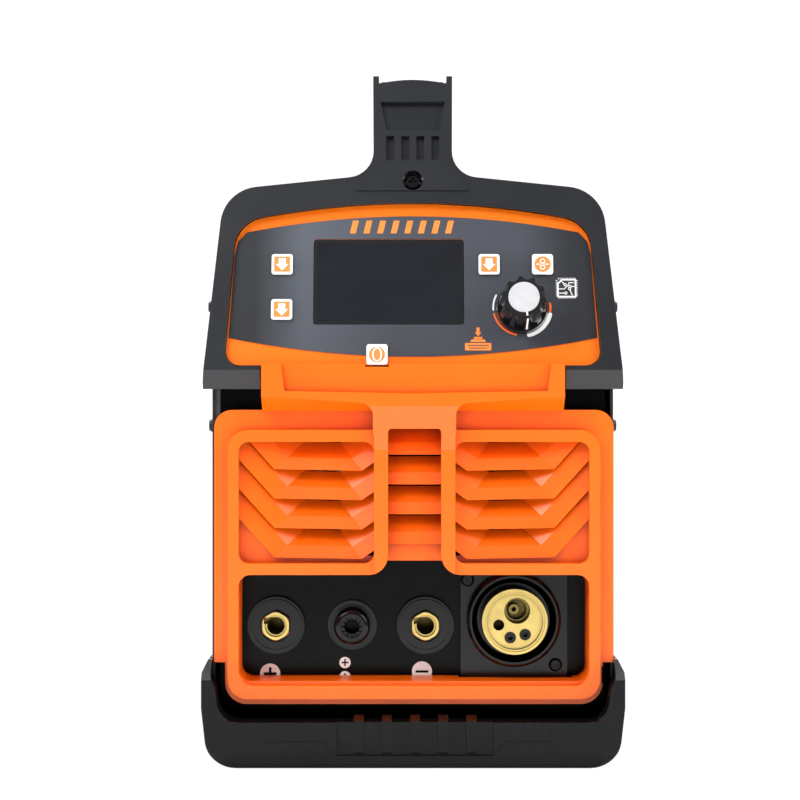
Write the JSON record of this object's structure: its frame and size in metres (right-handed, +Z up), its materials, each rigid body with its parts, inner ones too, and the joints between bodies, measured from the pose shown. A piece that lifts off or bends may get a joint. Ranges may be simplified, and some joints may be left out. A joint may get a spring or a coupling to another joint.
{
  "type": "inverter welding machine",
  "caption": "Compact inverter welder with a tilted control face, top handle, louvered front grille, cable and torch sockets, and a wire-feed bay behind a side door.",
  "frame": {"origin": "centre of the footprint on the floor, at the bottom of the feet and bumpers", "axes": "+Z up; the control face and sockets face -Y; +X is the viewer's right when facing the front, the side with the wire-feed door"},
  "size_m": [0.2104, 0.433, 0.3495],
  "materials": {
    "orange_shell": "moulded orange plastic, semi-gloss",
    "black_shell": "fine-grained black plastic",
    "cover_paint": "black powder coat",
    "label_film": "dark blue-grey overlay film",
    "screen_glass": "dark tinted acrylic window",
    "button_orange": "orange and white key",
    "knob_black": "glossy black",
    "cap_silver": "spun cap",
    "brass": "turned brass",
    "steel": "zinc-plated steel",
    "aluminium": "cast or extruded",
    "rubber": "moulded feet",
    "board_green": "printed circuit board",
    "inner_black": "black moulded plastic",
    "copper_wire": "copper-coated steel wire and windings",
    "capacitor_blue": "sleeved cans",
    "rocker_red": "rocker"
  },
  "bodies": {
    "welder": {"control_bezel": "black_shell", "handle_grip": "black_shell", "rear_cover": "black_shell", "control_panel": "orange_shell", "panel_label": "label_film", "display_window": "screen_glass", "display_module": "inner_black", "knob_encoder": "steel", "control_board": "board_green", "front_grille": "orange_shell", "socket_panel": "cover_paint", "positive_socket": "inner_black", "positive_contact": "brass", "negative_socket": "inner_black", "negative_contact": "brass", "lead_gland": "inner_black", "torch_flange": "inner_black", "torch_socket": "brass", "torch_pins": "inner_black", "front_bumper": "black_shell", "rear_bumper": "black_shell", "feet": "rubber", "base_plate": "cover_paint", "case_cover": "cover_paint", "door_hinges": "steel", "divider_plate": "steel", "feed_base": "aluminium", "feed_motor": "steel", "spool_hub": "inner_black", "power_board": "board_green", "heat_sinks": "aluminium", "capacitors": "capacitor_blue", "transformer": "copper_wire", "output_choke": "copper_wire", "fan_frame": "inner_black", "rear_panel": "cover_paint", "power_switch": "inner_black", "gas_inlet": "brass", "gas_valve": "brass", "supply_gland": "inner_black", "case_screws": "steel"},
    "knob": {"setting_knob": "knob_black", "knob_cap": "cap_silver"},
    "button_upper_left": {"upper_left_button": "button_orange"},
    "button_lower_left": {"lower_left_button": "button_orange"},
    "button_upper_right": {"upper_right_button": "button_orange"},
    "button_wire_feed": {"wire_feed_button": "button_orange"},
    "button_lower": {"lower_button": "button_orange"},
    "door": {"side_door": "cover_paint"},
    "latch_front": {"front_latch": "inner_black"},
    "latch_rear": {"rear_latch": "inner_black"},
    "feed_roll": {"drive_roll": "steel"},
    "arm": {"pressure_arm": "inner_black"},
    "idler": {"pressure_roll": "steel"},
    "tension": {"tension_screw": "brass"},
    "spool": {"wire_spool": "inner_black", "spool_wire": "copper_wire"},
    "hub_nut": {"spool_nut": "inner_black"},
    "fan": {"fan_rotor": "inner_black"},
    "rocker": {"switch_rocker": "rocker_red"}
  },
  "joints": [
    {"name": "knob_turn", "type": "hinge", "parent": "welder", "child": "knob", "pos_m": [0.0548, -0.19568, 0.2294], "axis": [0, -0.9703, 0.2419], "continuous": true},
    {"name": "upper_left_press", "type": "slide", "parent": "welder", "child": "button_upper_left", "axis": [0, 0.9703, -0.2419], "range_m": [0, 0.0006], "stiffness_N_per_m": 1500, "springref_m": -0.0008},
    {"name": "lower_left_press", "type": "slide", "parent": "welder", "child": "button_lower_left", "axis": [0, 0.9703, -0.2419], "range_m": [0, 0.0006], "stiffness_N_per_m": 1500, "springref_m": -0.0008},
    {"name": "upper_right_press", "type": "slide", "parent": "welder", "child": "button_upper_right", "axis": [0, 0.9703, -0.2419], "range_m": [0, 0.0006], "stiffness_N_per_m": 1500, "springref_m": -0.0008},
    {"name": "wire_feed_press", "type": "slide", "parent": "welder", "child": "button_wire_feed", "axis": [0, 0.9703, -0.2419], "range_m": [0, 0.0006], "stiffness_N_per_m": 1500, "springref_m": -0.0008},
    {"name": "lower_press", "type": "slide", "parent": "welder", "child": "button_lower", "axis": [0, 0.9703, -0.2419], "range_m": [0, 0.0006], "stiffness_N_per_m": 1500, "springref_m": -0.0008},
    {"name": "door_hinge", "type": "hinge", "parent": "welder", "child": "door", "pos_m": [0.1026, 0, 0.024], "axis": [0, 1, 0], "range_deg": [0, 90]},
    {"name": "front_latch_slide", "type": "slide", "parent": "door", "child": "latch_front", "axis": [0, 0, -1], "range_m": [0, 0.0075]},
    {"name": "rear_latch_slide", "type": "slide", "parent": "door", "child": "latch_rear", "axis": [0, 0, -1], "range_m": [0, 0.0075]},
    {"name": "drive_roll_spin", "type": "hinge", "parent": "welder", "child": "feed_roll", "pos_m": [0.0525, -0.09, 0.0605], "axis": [1, 0, 0], "continuous": true},
    {"name": "pressure_arm_lift", "type": "hinge", "parent": "welder", "child": "arm", "pos_m": [0.037, -0.126, 0.096], "axis": [1, 0, 0], "range_deg": [0, 60]},
    {"name": "pressure_roll_spin", "type": "hinge", "parent": "arm", "child": "idler", "pos_m": [0.0525, -0.09, 0.0855], "axis": [1, 0, 0], "continuous": true},
    {"name": "tension_swing", "type": "hinge", "parent": "welder", "child": "tension", "pos_m": [0.038, -0.055, 0.062], "axis": [1, 0, 0], "range_deg": [0, 80]},
    {"name": "spool_turn", "type": "hinge", "parent": "welder", "child": "spool", "pos_m": [0.046, 0.076, 0.152], "axis": [1, 0, 0], "continuous": true},
    {"name": "hub_nut_turn", "type": "hinge", "parent": "welder", "child": "hub_nut", "pos_m": [0.08, 0.076, 0.152], "axis": [1, 0, 0], "continuous": true},
    {"name": "fan_spin", "type": "hinge", "parent": "welder", "child": "fan", "pos_m": [-0.038, 0.167, 0.175], "axis": [0, 1, 0], "continuous": true},
    {"name": "rocker_tilt", "type": "hinge", "parent": "welder", "child": "rocker", "pos_m": [0.048, 0.179, 0.228], "axis": [1, 0, 0], "range_deg": [0, 18]}
  ]
}
